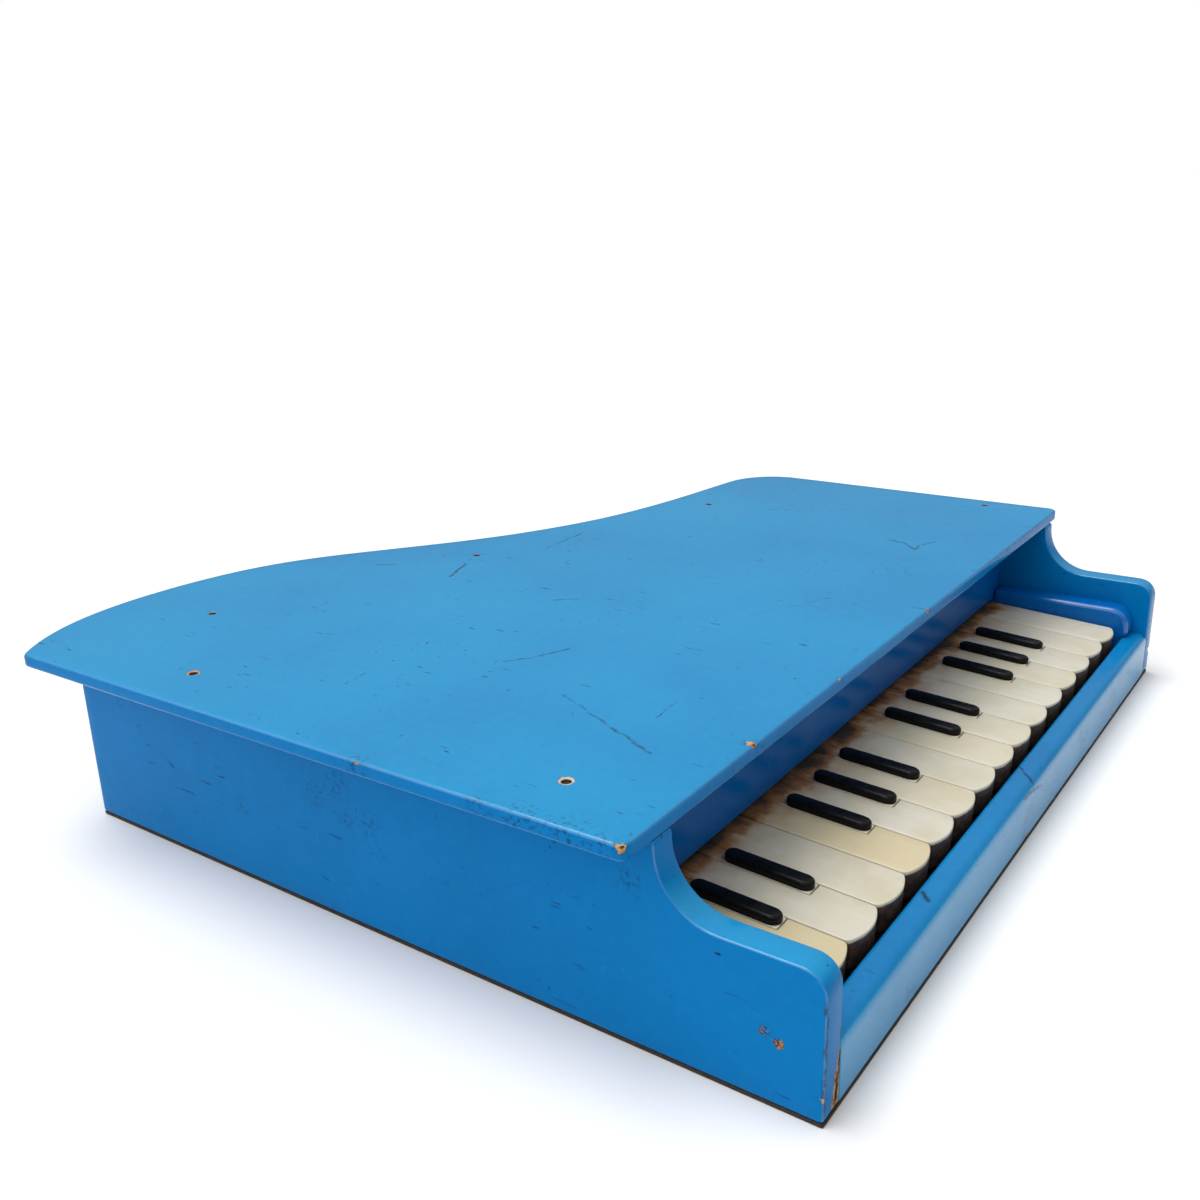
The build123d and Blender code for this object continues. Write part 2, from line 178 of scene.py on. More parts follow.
def inward(outline):
    """The unit direction into the outline at each point."""
    along = np.roll(outline, -1, 0) - np.roll(outline, 1, 0)
    along /= np.linalg.norm(along, axis=1, keepdims=True)
    return np.stack([-along[:, 1], along[:, 0]], 1)


def room(outline):
    """How far each point can move inwards before its neighbours' paths cross."""
    back, ahead = outline - np.roll(outline, 1, 0), np.roll(outline, -1, 0) - outline
    turn = np.arctan2(back[:, 0] * ahead[:, 1] - back[:, 1] * ahead[:, 0], (back * ahead).sum(1))
    gap = np.linalg.norm(ahead, axis=1)
    limit = np.where(turn > STRAIGHT, 0.75 * gap / np.maximum(turn, STRAIGHT), 1.0)
    for _ in range(6):               # a tight corner holds back the points on either side of it
        limit = np.minimum(limit, np.minimum(np.roll(limit, 1), np.roll(limit, -1)) + 0.4 * gap)
    return limit[:, None]


def inside(points, outline, margin):
    """Which points lie inside the outline and at least margin from it."""
    a, b = outline, np.roll(outline, -1, 0)
    hit = np.zeros(len(points), bool)
    near = np.full(len(points), np.inf)
    for (ax, ay), (bx, by) in zip(a, b):
        cross = (ay > points[:, 1]) != (by > points[:, 1])
        if cross.any():
            x = ax + (points[:, 1] - ay) / (by - ay + 1e-15) * (bx - ax)
            hit ^= cross & (points[:, 0] < x)
        near = np.minimum(near, (points[:, 0] - ax) ** 2 + (points[:, 1] - ay) ** 2)
    return hit & (near > margin * margin)


def cap(ring, grid, rings_round=()):
    """Triangles over a flat outline, with points inside on a grid and in circles round given spots."""
    low, high = ring.min(0), ring.max(0)
    row = grid * 0.87                # which makes the triangles nearly equal-sided
    xs = np.arange(low[0] + grid / 2, high[0], grid)
    ys = np.arange(low[1] + grid / 2, high[1], row)
    inner = np.array([(x + (k % 2) * grid / 2, y) for k, y in enumerate(ys) for x in xs])
    circles = []
    for spot, radii in rings_round:
        spot = np.array(spot)
        if len(inner):
            inner = inner[np.linalg.norm(inner - spot, axis=1) > max(radii) + grid * 0.3]
        circles.append([spot])
        for k, r in enumerate(radii):
            turn = (np.arange(CIRCLE_POINTS) + 0.5 * (k % 2)) * 2 * math.pi / CIRCLE_POINTS
            circles.append(spot + r * np.stack([np.cos(turn), np.sin(turn)], 1))
    if len(inner):
        inner = inner[inside(inner, ring, grid * 0.55)]
    extra = np.vstack([inner.reshape(-1, 2), *circles]) if circles else inner.reshape(-1, 2)
    points = np.vstack([ring, extra])
    found = delaunay_2d_cdt([Vector(p) for p in points], [], [list(range(len(ring)))], 1, 1e-9)
    if len(found[0]) != len(points):
        raise RuntimeError("a cap's outline crosses itself")
    return extra, found[2]


def slab(outline, low, high, soft, grid, rings_round=(), bevel_steps=4):
    """A board in its own frame: its outline in XY, from low to high in Z, its edges rounded by
    soft = (at low, at high). Returns its vertices, its faces, and how near each vertex is to the
    middle of a rounded edge, from 0 to 1."""
    normal, most = inward(outline), room(outline)
    levels = [(low + soft[0] * (1 - math.cos(t)), soft[0] * (1 - math.sin(t)), math.sin(2 * t))
              for t in np.linspace(0, math.pi / 2, bevel_steps + 1)]
    span = (high - soft[1]) - (low + soft[0])
    bands = max(2, int(span / ROW_GAP))
    for k in range(1, bands):
        levels.append((low + soft[0] + span * k / bands, 0.0, 0.0))
    levels += [(high - soft[1] * (1 - math.cos(t)), soft[1] * (1 - math.sin(t)), math.sin(2 * t))
               for t in np.linspace(math.pi / 2, 0, bevel_steps + 1)]
    verts, edge = [], []
    for z, inset, near in levels:
        ring = outline + normal * np.minimum(inset, most)
        verts.append(np.column_stack([ring, np.full(len(ring), z)]))
        edge.append(np.full(len(ring), near))
    n = len(outline)
    faces = []
    for r in range(len(levels) - 1):
        a, b = r * n, (r + 1) * n
        faces += [(a + i, a + (i + 1) % n, b + (i + 1) % n, b + i) for i in range(n)]
    count = len(levels) * n
    for top in (False, True):
        z, inset, _ = levels[-1 if top else 0]
        start = (len(levels) - 1) * n if top else 0
        ring = outline + normal * np.minimum(inset, most)
        extra, triangles = cap(ring, grid, rings_round if top else ())
        for triangle in triangles:
            corners = [start + i if i < n else count + i - n for i in triangle]
            faces.append(tuple(corners if top else corners[::-1]))
        verts.append(np.column_stack([extra, np.full(len(extra), z)]))
        edge.append(np.zeros(len(extra)))
        count += len(extra)
    return np.vstack(verts), faces, np.concatenate(edge)


def lathe(profile, at_point, sides):
    """A turned piece about Z from (radius, height) pairs; a radius of zero closes it."""
    turn = np.arange(sides) * 2 * math.pi / sides
    circle = np.stack([np.cos(turn), np.sin(turn)], 1)
    verts = np.vstack([np.column_stack([circle * r, np.full(sides, z)]) for r, z in profile])
    faces = []
    for k in range(len(profile) - 1):
        a, b = k * sides, (k + 1) * sides
        faces += [(a + i, a + (i + 1) % sides, b + (i + 1) % sides, b + i) for i in range(sides)]
    faces.append(tuple(range(sides))[::-1])
    faces.append(tuple(range((len(profile) - 1) * sides, len(profile) * sides)))
    return verts + np.array(at_point), faces


def waves(points, size, depth, seed):
    """A smooth random height for each point, from -depth to depth, with features of about size."""
    shift = Vector((seed * 7.13, seed * 3.71, seed * 5.29))
    return np.array([noise.noise(Vector(p) / size + shift) for p in points]) * depth


def build(name, verts, faces, materials, layers=None, face_slots=None):
    """A mesh object with smooth shading; layers are named numbers for each vertex."""
    mesh = bpy.data.meshes.new(name)
    mesh.from_pydata([tuple(v) for v in verts], [], [tuple(int(i) for i in f) for f in faces])
    mesh.update()
    for label, values in (layers or {}).items():
        attribute = mesh.attributes.new(label, "FLOAT", "POINT")
        attribute.data.foreach_set("value", np.asarray(values, np.float32))
    for m in materials:
        mesh.materials.append(m)
    if face_slots is not None:
        mesh.polygons.foreach_set("material_index", np.asarray(face_slots, np.int32))
    mesh.polygons.foreach_set("use_smooth", np.ones(len(mesh.polygons), bool))
    mesh.update()
    piece = bpy.data.objects.new(name, mesh)
    bpy.context.scene.collection.objects.link(piece)
    return piece


def vertex_normals(verts, faces):
    """Area-weighted normals of a mesh that isn't an object yet."""
    total = np.zeros_like(verts)
    for f in faces:
        p = verts[list(f)]
        n = np.cross(p[1] - p[0], p[2] - p[0])
        if len(f) == 4:
            n = n + np.cross(p[2] - p[0], p[3] - p[0])
        for i in f:
            total[i] += n
    return total / np.maximum(np.linalg.norm(total, axis=1, keepdims=True), 1e-12)


def weather(verts, faces, uneven=0.05 * MM, chips=(), seed=1):
    """Sands a board uneven by hand and knocks chips out of it. A chip is (place, radius, depth).
    Returns the moved vertices and how much bare wood shows at each."""
    normal = vertex_normals(verts, faces)
    drop = waves(verts, LONG_WAVE, uneven, seed) + waves(verts, SHORT_WAVE, uneven * 0.4, seed + 1)
    drop -= uneven
    bare = np.zeros(len(verts))
    for k, (place, radius, depth) in enumerate(chips):
        away = np.linalg.norm(verts - np.array(place), axis=1)
        ragged = 1 + waves(verts, radius * 0.6, 0.55, seed + 20 + k)
        share = np.clip(1.25 - away / (radius * ragged), 0, 1)
        share = share * share * (3 - 2 * share)
        bare = np.maximum(bare, share)
        drop -= share * depth
    return verts + normal * drop[:, None], bare


# ================================================================ materials
class Surface:
    """A Principled material and short ways to add nodes to it. Patterns read object coordinates."""

    def __init__(self, name, colour, roughness, specular=0.5):
        self.material = bpy.data.materials.new(name)
        self.material.use_nodes = True
        self.tree = self.material.node_tree
        self.shader = self.tree.nodes["Principled BSDF"]
        self.shader.inputs["Base Color"].default_value = (*colour, 1)
        self.shader.inputs["Roughness"].default_value = roughness
        self.shader.inputs["Specular IOR Level"].default_value = specular
        self.place = self.add("ShaderNodeTexCoord").outputs["Object"]
        self.wobbly = self.place

    def add(self, kind, **settings):
        """A new node with some of its settings."""
        node = self.tree.nodes.new(kind)
        for key, value in settings.items():
            setattr(node, key, value)
        return node

    def plug(self, value, socket):
        """Links a socket's value in, or sets a plain one."""
        if isinstance(value, bpy.types.NodeSocket):
            self.tree.links.new(value, socket)
        else:
            socket.default_value = value

    def math(self, how, a, b):
        """One operation on two numbers."""
        node = self.add("ShaderNodeMath", operation=how)
        self.plug(a, node.inputs[0])
        self.plug(b, node.inputs[1])
        return node.outputs[0]

    def vector(self, how, a, b):
        """One operation on two vectors."""
        node = self.add("ShaderNodeVectorMath", operation=how)
        self.plug(a, node.inputs[0])
        self.plug(b, node.inputs[1])
        return node.outputs["Value" if how in ("DOT_PRODUCT", "DISTANCE") else "Vector"]

    def layer(self, name):
        """One of the numbers that the mesh carries for each vertex."""
        return self.add("ShaderNodeAttribute", attribute_name=name).outputs["Fac"]

    def stretch(self, x, y, z):
        """The place for a pattern that is drawn out along the axes whose number is small."""
        return self.vector("MULTIPLY", self.place, (x, y, z))

    def noise(self, size, detail=3.0, rough=0.55, vector=None, twist=0.0):
        """Noise from 0 to 1 with features of about size, in metres."""
        node = self.add("ShaderNodeTexNoise")
        self.plug(self.place if vector is None else vector, node.inputs["Vector"])
        node.inputs["Scale"].default_value = 1 / size
        node.inputs["Detail"].default_value = detail
        node.inputs["Roughness"].default_value = rough
        node.inputs["Distortion"].default_value = twist
        return node.outputs["Fac"]

    def jitter(self, size, amount, detail=3.0, rough=0.55):
        """Noise about zero that spans amount."""
        return self.math("MULTIPLY", self.math("SUBTRACT", self.noise(size, detail, rough), 0.5), amount)

    def step(self, value, low, high, to=(0.0, 1.0)):
        """A smooth step from to[0] at low to to[1] at high."""
        node = self.add("ShaderNodeMapRange", interpolation_type="SMOOTHSTEP")
        for v, socket in zip((value, low, high, *to), node.inputs):
            self.plug(v, socket)
        return node.outputs["Result"]

    def mix(self, share, a, b):
        """From colour a to colour b."""
        node = self.add("ShaderNodeMix", data_type="RGBA")
        self.plug(share, node.inputs["Factor"])
        for v, socket in ((a, node.inputs["A"]), (b, node.inputs["B"])):
            self.plug((*v, 1) if isinstance(v, tuple) else v, socket)
        return node.outputs["Result"]

    def blend(self, share, a, b):
        """From number a to number b."""
        node = self.add("ShaderNodeMix", data_type="FLOAT")
        for v, socket in ((share, node.inputs["Factor"]), (a, node.inputs["A"]), (b, node.inputs["B"])):
            self.plug(v, socket)
        return node.outputs["Result"]

    def near(self, place, outer, inner=0.0):
        """1 within inner of a place and 0 beyond outer from it."""
        return self.step(self.vector("DISTANCE", self.place, tuple(place)), outer, inner)

    def waver(self, size, reach):
        """Makes the strokes drawn after this wander by up to about half of reach."""
        node = self.add("ShaderNodeTexNoise")
        self.plug(self.place, node.inputs["Vector"])
        node.inputs["Scale"].default_value = 1 / size
        node.inputs["Detail"].default_value = 3
        aside = self.vector("SUBTRACT", node.outputs["Color"], (0.5, 0.5, 0.5))
        self.wobbly = self.vector("ADD", self.place, self.vector("MULTIPLY", aside, (reach, reach, reach)))

    def stroke(self, a, b, width):
        """1 on a line from a to b, as wavering as waver made it, and 0 beyond width from it."""
        a, b = Vector(a), Vector(b)
        flat = self.vector("SUBTRACT", self.wobbly, tuple(a))
        way = b - a
        along = self.math("DIVIDE", self.vector("DOT_PRODUCT", flat, tuple(way)), way.length_squared)
        kept = self.math("MAXIMUM", self.math("MINIMUM", along, 1.0), 0.0)
        node = self.add("ShaderNodeVectorMath", operation="SCALE")
        node.inputs[0].default_value = way
        self.plug(kept, node.inputs["Scale"])
        off = self.vector("DISTANCE", flat, node.outputs["Vector"])
        return self.step(off, width, 0.0)

    def finish(self, colour, roughness=None, height=None, depth=0.1 * MM, strength=1.0):
        """Links the patterns to the shader and returns the material."""
        self.plug(colour, self.shader.inputs["Base Color"])
        if roughness is not None:
            self.plug(roughness, self.shader.inputs["Roughness"])
        if height is not None:
            bump = self.add("ShaderNodeBump")
            bump.inputs["Strength"].default_value = strength
            bump.inputs["Distance"].default_value = depth
            self.plug(height, bump.inputs["Height"])
            self.plug(bump.outputs["Normal"], self.shader.inputs["Normal"])
        return self.material


# the usual, deepest and palest tone of each face; the sets differ mostly as painted light and shade on one
# blue enamel
LIT_BLUES = (0.001, 0.242, 0.500), (0.000, 0.205, 0.455), (0.008, 0.300, 0.560)
SHADED_BLUES = (0.000, 0.163, 0.440), (0.000, 0.140, 0.385), (0.003, 0.205, 0.500)
# deeper blues for the fallboard and key blocks under the lid: partly their own deeper paint, mostly painted
# shade
INNER_SHADED_BLUES = (0.000, 0.118, 0.410), (0.000, 0.092, 0.340), (0.003, 0.160, 0.480)
RAIL_TOP_BLUES = (0.001, 0.180, 0.440), (0.001, 0.150, 0.380), (0.010, 0.240, 0.500)
BARE = (0.480, 0.290, 0.155)
BARE_DARK = (0.130, 0.052, 0.020)
BLEACHED = (0.480, 0.410, 0.330)
# near-black painted shade for the screw throats and the deepest torn spots
HOLE_SHADE = (0.022, 0.014, 0.010)
GRIME = (0.003, 0.014, 0.045)
NAIL_RUST = (0.420, 0.200, 0.080), (0.120, 0.045, 0.018)
STEEL_RUST = (0.120, 0.045, 0.016), (0.035, 0.015, 0.008)
CREAM, CREAM_AGED = (0.620, 0.590, 0.490), (0.560, 0.515, 0.385)
CREAM_YELLOW = (0.600, 0.490, 0.270)
CREAM_VEIL = (0.50, 0.44, 0.31)
# the cream's colour where it goes darker towards its back end
CREAM_DARKER_BACK = (0.38, 0.22, 0.080)
# a painted highlight along the rounded rims of the keys' tops
CREAM_EDGE_HIGHLIGHT = (0.80, 0.76, 0.62)
SPECK = (0.16, 0.10, 0.05)
STAIN = (0.400, 0.180, 0.045), (0.200, 0.080, 0.022)
# the stain further back, darkened nearly black by painted shade under the lid and fallboard
STAIN_IN_SHADE = (0.060, 0.034, 0.020), (0.022, 0.014, 0.010)
# the levers' sides: wood darkened almost to black by painted shade between and in front of the keys
LEVER_SIDE_IN_SHADE = (0.020, 0.011, 0.007), (0.110, 0.050, 0.020)
CAP_BLACK, CAP_DUST = (0.004, 0.004, 0.004), (0.030, 0.026, 0.021)
FELT_REDS = (0.330, 0.045, 0.040), (0.160, 0.018, 0.018)
FLOOR_WHITES = (0.85, 0.85, 0.85), (0.88, 0.88, 0.88)
GRAIN_X = (0.15, 1.0, 1.0)           # stretches that draw a pattern out along one axis
BRUSHED_X = (0.08, 1.0, 1.0)
HAIR_Y = (1.0, 0.12, 1.0)
VEIL_Y = (1.0, 0.2, 1.0)
GRAIN_Y = (1.0, 0.08, 1.0)
GRAIN_Z = (1.0, 1.0, 0.1)


def paint_marks(s, strokes, smudges):
    """How far grime fills the paint: specks, hair scratches, the strokes and the smudges, 0 to 1."""
    specks = s.step(s.noise(0.0016, 2, 0.5), 0.715, 0.74)
    marks = s.math("MULTIPLY", specks, s.step(s.noise(0.03, 2), 0.48, 0.62))
    scratch = s.step(s.noise(0.0011, 1, 0.4, s.stretch(*HAIR_Y), 0.6), 0.715, 0.75)
    scratch = s.math("MULTIPLY", scratch, s.step(s.noise(0.025, 2), 0.50, 0.64))
    marks = s.math("MAXIMUM", marks, scratch)
    broken = s.step(s.noise(0.003, 3, 0.7), 0.34, 0.48)
    for a, b, width, strength in strokes:
        line = s.math("MULTIPLY", s.stroke(a, b, width), broken)
        marks = s.math("MAXIMUM", marks, s.math("MULTIPLY", line, strength))
    blotch = s.step(s.noise(0.0018, 4, 0.7), 0.50, 0.62)
    for place, radius, strength in smudges:
        spot = s.math("MULTIPLY", s.near(place, radius), blotch)
        marks = s.math("MAXIMUM", marks, s.math("MULTIPLY", spot, strength))
    return marks


def painted(name, lit_up_tones, shaded_side_tones, strokes=(), smudges=(), bald=(), sheen=(0.3, 0.05), faded=()):
    """Blue enamel brushed on wood: tone that drifts, scuffs near the edges, bare wood in the chips, and
    near-black painted shade where the wood is torn deepest. Each set of tones is the usual, deepest
    and palest: the first set is painted lit, for what faces up, and the second painted shaded, for the
    rest; sheen is the specular level of each. A stroke is (from, to, width, strength), a smudge is
    (place, radius, strength), and a bald streak is (from, to, width). Bare wood near a faded place is pale."""
    s = Surface(name, lit_up_tones[0], 0.25)
    facing = s.add("ShaderNodeSeparateXYZ")
    s.plug(s.add("ShaderNodeNewGeometry").outputs["Normal"], facing.inputs[0])
    # faces that look up get the tones painted lit, the rest those painted shaded: painted light and shade
    up = s.step(facing.outputs["Z"], 0.35, 0.85)
    usual, deepest, palest = (s.mix(up, low, high) for low, high in zip(shaded_side_tones, lit_up_tones))
    drift = s.noise(0.09, 2)
    fine = s.noise(0.004, 4, 0.6)
    colour = s.mix(s.step(drift, 0.3, 0.75), usual, deepest)
    colour = s.mix(s.math("MULTIPLY", s.step(fine, 0.35, 0.8), 0.22), colour, palest)
    edge = s.layer("edge")
    worn = s.math("MULTIPLY", edge, s.step(s.noise(0.006, 5, 0.65), 0.45, 0.62))
    colour = s.mix(s.math("MULTIPLY", worn, 0.55), colour, deepest)
    s.waver(7 * MM, 3 * MM)
    marks = paint_marks(s, strokes, smudges)
    colour = s.mix(s.math("MULTIPLY", marks, 0.92), colour, GRIME)
    torn = s.layer("bare")
    for a, b, width in bald:
        torn = s.math("MAXIMUM", torn, s.stroke(a, b, width))
    torn = s.math("ADD", torn, s.jitter(0.0012, 0.6))
    bare = s.step(torn, 0.50, 0.56)
    rim = s.step(torn, 0.34, 0.50)
    # where the wood is torn deepest it is painted near-black, as painted shade in the hollow
    hole_shade = s.step(torn, 0.80, 1.0)
    grain = s.noise(0.002, 4, 0.6, s.stretch(*GRAIN_X))
    wood = s.mix(s.step(grain, 0.40, 0.75), BARE, BARE_DARK)
    for place in faded:
        wood = s.mix(s.near(place, 5 * MM, 4 * MM), wood, BLEACHED)
    wood = s.mix(hole_shade, wood, HOLE_SHADE)
    colour = s.mix(s.math("MULTIPLY", rim, 0.5), colour, GRIME)
    colour = s.mix(bare, colour, wood)
    gloss = s.step(s.noise(0.02, 4, 0.65), 0.3, 0.8, (0.17, 0.30))
    gloss = s.math("ADD", gloss, s.math("MULTIPLY", marks, 0.2))
    gloss = s.blend(bare, gloss, 0.75)
    shine = s.blend(up, sheen[1], sheen[0])
    s.plug(s.blend(s.step(edge, 0.3, 0.9), shine, 0.7), s.shader.inputs["Specular IOR Level"])
    brushed = s.noise(0.0016, 2, 0.5, s.stretch(*BRUSHED_X))
    height = s.math("MULTIPLY", s.noise(0.007, 2, 0.5), 0.5)
    height = s.math("ADD", height, s.math("MULTIPLY", brushed, 0.06))
    height = s.math("SUBTRACT", height, s.math("MULTIPLY", bare, 0.9))
    height = s.math("SUBTRACT", height, s.math("MULTIPLY", marks, 0.15))
    return s.finish(colour, gloss, height, 0.12 * MM, 0.9)


def painted_nail():
    """A nail head under old blue paint, with rust coming through it in spots."""
    s = Surface("painted_nail_head", SHADED_BLUES[0], 0.5, 0.2)
    spots = s.noise(0.0016, 4, 0.7)
    rust = s.mix(s.step(s.noise(0.0006, 2), 0.35, 0.7), *NAIL_RUST)
    colour = s.mix(s.step(spots, 0.50, 0.56), GRIME, rust)
    colour = s.mix(s.step(spots, 0.43, 0.47), SHADED_BLUES[0], colour)
    return s.finish(colour, s.step(spots, 0.3, 0.7, (0.35, 0.75)), spots, 0.15 * MM, 0.8)


def key_paint():
    """Cream paint on the top of a lever's playing end, gone yellow in patches, with a painted highlight
    along its rims, and darker towards its back end. Behind it the wood is stained brown and then nearly
    black, the stain darkened by painted shade under the lid, and below it the sides are wood darkened
    by painted shade."""
    s = Surface("cream_key_paint", (0.74, 0.70, 0.56), 0.35)
    patch = s.noise(0.018, 3, 0.6)
    cream = s.mix(s.step(patch, 0.35, 0.75), CREAM, CREAM_AGED)
    cream = s.mix(s.layer("tint"), cream, CREAM_YELLOW)
    veil = s.noise(0.003, 4, 0.6, s.stretch(*VEIL_Y))
    cream = s.mix(s.math("MULTIPLY", s.step(veil, 0.4, 0.75), 0.25), cream, CREAM_VEIL)
    grain = s.noise(0.0022, 5, 0.65, s.stretch(*GRAIN_Y), 0.4)
    stain = s.mix(s.step(grain, 0.3, 0.7), *STAIN)
    # further back the stain goes nearly black: painted shade under the lid
    dark = s.mix(s.step(grain, 0.3, 0.7), *STAIN_IN_SHADE)
    from_line = s.layer("back")
    ragged = s.jitter(0.012, 20.0, 4, 0.6)
    behind = s.math("ADD", from_line, ragged)
    back = s.step(behind, -3.0, 2.0)
    wood = s.mix(s.step(behind, 0.5, 7.0), stain, dark)
    below = s.step(s.math("ADD", s.layer("down"), s.jitter(0.004, 1.2)), 0.9, 1.7)
    # the cream goes darker towards its back end
    darker_back = s.step(s.math("ADD", from_line, s.math("MULTIPLY", ragged, 1.3)), -15.0, 3.0)
    cream = s.mix(s.math("MULTIPLY", darker_back, 0.7), cream, CREAM_DARKER_BACK)
    # a painted highlight along the rims of the top
    edge_glint = s.step(s.layer("edge"), 0.2, 1.0)
    cream = s.mix(s.math("MULTIPLY", edge_glint, 0.30), cream, CREAM_EDGE_HIGHLIGHT)
    speck = s.step(s.noise(0.0014, 2, 0.5), 0.75, 0.78)
    cream = s.mix(s.math("MULTIPLY", speck, 0.5), cream, SPECK)
    hidden = s.math("MAXIMUM", back, below)
    colour = s.mix(back, cream, wood)
    # below the top the sides are wood darkened by painted shade
    side = s.mix(s.step(grain, 0.35, 0.75), *LEVER_SIDE_IN_SHADE)
    colour = s.mix(below, colour, side)
    gloss = s.blend(hidden, s.step(patch, 0.2, 0.8, (0.28, 0.42)), 0.6)
    height = s.math("ADD", s.math("MULTIPLY", grain, 0.25), s.math("MULTIPLY", s.noise(0.005, 2), 0.6))
    height = s.math("SUBTRACT", height, s.math("MULTIPLY", hidden, 0.8))
    return s.finish(colour, gloss, height, 0.1 * MM, 0.8)


def timber(name, light, dark, roughness, way=BRUSHED_X, grain_size=0.003):
    """Plain wood with its grain drawn out along one axis, or even if way is all ones."""
    s = Surface(name, light, roughness)
    grain = s.noise(grain_size, 5, 0.65, s.stretch(*way), 0.5)
    pores = s.noise(grain_size * 0.2, 2, 0.6, s.stretch(*way))
    colour = s.mix(s.step(grain, 0.3, 0.72), light, dark)
    colour = s.mix(s.math("MULTIPLY", s.step(pores, 0.55, 0.7), 0.4), colour, dark)
    height = s.math("SUBTRACT", s.math("MULTIPLY", grain, 0.5), s.math("MULTIPLY", pores, 0.5))
    gloss = s.step(grain, 0.2, 0.8, (roughness - 0.08, roughness + 0.1))
    return s.finish(colour, gloss, height, 0.15 * MM, 0.7)


def black_gloss():
    """Glossy black with a little dust on it."""
    s = Surface("black_cap_plastic", CAP_BLACK, 0.25, 0.15)
    dust = s.step(s.noise(0.0025, 4, 0.7), 0.55, 0.8)
    colour = s.mix(s.math("MULTIPLY", dust, 0.2), CAP_BLACK, CAP_DUST)
    gloss = s.step(s.noise(0.004, 3, 0.6), 0.3, 0.8, (0.24, 0.42))
    return s.finish(colour, gloss, s.noise(0.0035, 2, 0.5), 0.08 * MM, 0.8)


def metal(name, colour, roughness, rust=0.0, brushed=(1.0, 1.0, 1.0)):
    """Bare metal with fine scratches, and as much rust as rust says."""
    s = Surface(name, colour, roughness)
    lines = s.noise(0.0009, 3, 0.6, s.stretch(*brushed))
    spots = s.step(s.noise(0.0016, 5, 0.7), 0.62 - 0.35 * rust, 0.72 - 0.3 * rust)
    brown = s.mix(s.noise(0.0007, 2), *STEEL_RUST)
    shade = s.mix(s.step(lines, 0.3, 0.7), colour, tuple(c * 0.75 for c in colour))
    gloss = s.blend(spots, s.step(lines, 0.2, 0.8, (roughness - 0.08, roughness + 0.12)), 0.85)
    s.plug(s.math("SUBTRACT", 1.0, spots), s.shader.inputs["Metallic"])
    height = s.math("ADD", s.math("MULTIPLY", lines, 0.2), s.math("MULTIPLY", spots, 0.8))
    return s.finish(s.mix(spots, shade, brown), gloss, height, 0.05 * MM, 0.7)


def felt():
    """Dull red wool felt."""
    s = Surface("red_felt", (0.30, 0.035, 0.030), 0.95, 0.2)
    fuzz = s.noise(0.0008, 5, 0.75)
    colour = s.mix(s.step(fuzz, 0.3, 0.7), *FELT_REDS)
    s.shader.inputs["Sheen Weight"].default_value = 0.4
    return s.finish(colour, None, fuzz, 0.3 * MM, 0.9)


def pale_floor():
    """Matt white that is almost even."""
    s = Surface("pale_floor", (0.86, 0.86, 0.86), 0.55)
    return s.finish(s.mix(s.noise(0.5, 2), *FLOOR_WHITES))


# ================================================================ the case
def put(piece, body, slot, *replaced):
    """Rides the piece on its body and hides the CAD nodes that it stands for; slot is not used."""
    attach(piece, body)
    if replaced:
        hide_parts(*replaced)
    return piece


def turned(verts, axes):
    """From a board's own frame (outline, outline, thickness) to the row's axes."""
    out = np.empty_like(verts)
    third = 3 - axes[0] - axes[1]
    out[:, axes[0]], out[:, axes[1]], out[:, third] = verts.T
    return out


def board(node, axes, soft, material, chips=(), grid=5 * MM, soften=0.6 * MM, rings_round=(),
          uneven=0.05 * MM, seed=1, dents=None, slot="blue_lacquer", cut=0.5):
    """Replaces a flat CAD board by one with softened, worn edges. axes are those of its outline, which
    is read where a plane, at a share cut of the thickness, clears the board's holes."""
    third = 3 - axes[0] - axes[1]
    low, high = (corner[third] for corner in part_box(node))
    outline = even(section(node, axes, low + cut * (high - low)), BOARD_STEP, soften)
    verts, faces, edge = slab(outline, low, high, soft, grid, rings_round=rings_round)
    verts = turned(verts, axes)
    if axes == (0, 2):               # this turn mirrors the board
        faces = [f[::-1] for f in faces]
    verts, bare = weather(verts, faces, uneven, chips, seed)
    if dents is not None:
        verts, bare = dents(verts, bare)
    box_low, box_high = (np.array(corner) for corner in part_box(node))
    verts = np.clip(verts, box_low, box_high)
    piece = build(node + "_finished", verts, faces, [material], {"edge": edge, "bare": bare})
    return put(piece, "case", slot, node)


SCREWS = [(p[:, 0].mean(), p[:, 1].mean()) for p in loose_parts("lid_screws")]
LID_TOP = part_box("lid")[1].z
PIT_R = 2.8 * MM
DISH_DEPTH = 0.35 * MM
THROAT_R, THROAT_DEPTH = 1.5 * MM, 1.2 * MM
FRONT_LEFT = min(range(len(SCREWS)), key=lambda k: SCREWS[k][0] + SCREWS[k][1])
REAR_LEFT = min(range(len(SCREWS)), key=lambda k: SCREWS[k][0] if k != FRONT_LEFT else 1.0)
# the two pits on the left are wide and have lost their paint; the others are grimy more than bare
BARE_SHARE = [0.66 if k in (FRONT_LEFT, REAR_LEFT) else 0.42 for k in range(len(SCREWS))]
PIT_SHARE = [1.0 if k in (FRONT_LEFT, REAR_LEFT) else 0.8 for k in range(len(SCREWS))]
PIT_RINGS = [r * MM for r in (0.6, 1.0, 1.4, 1.8, 2.3, 2.8, 3.2, 3.6, 4.3)]


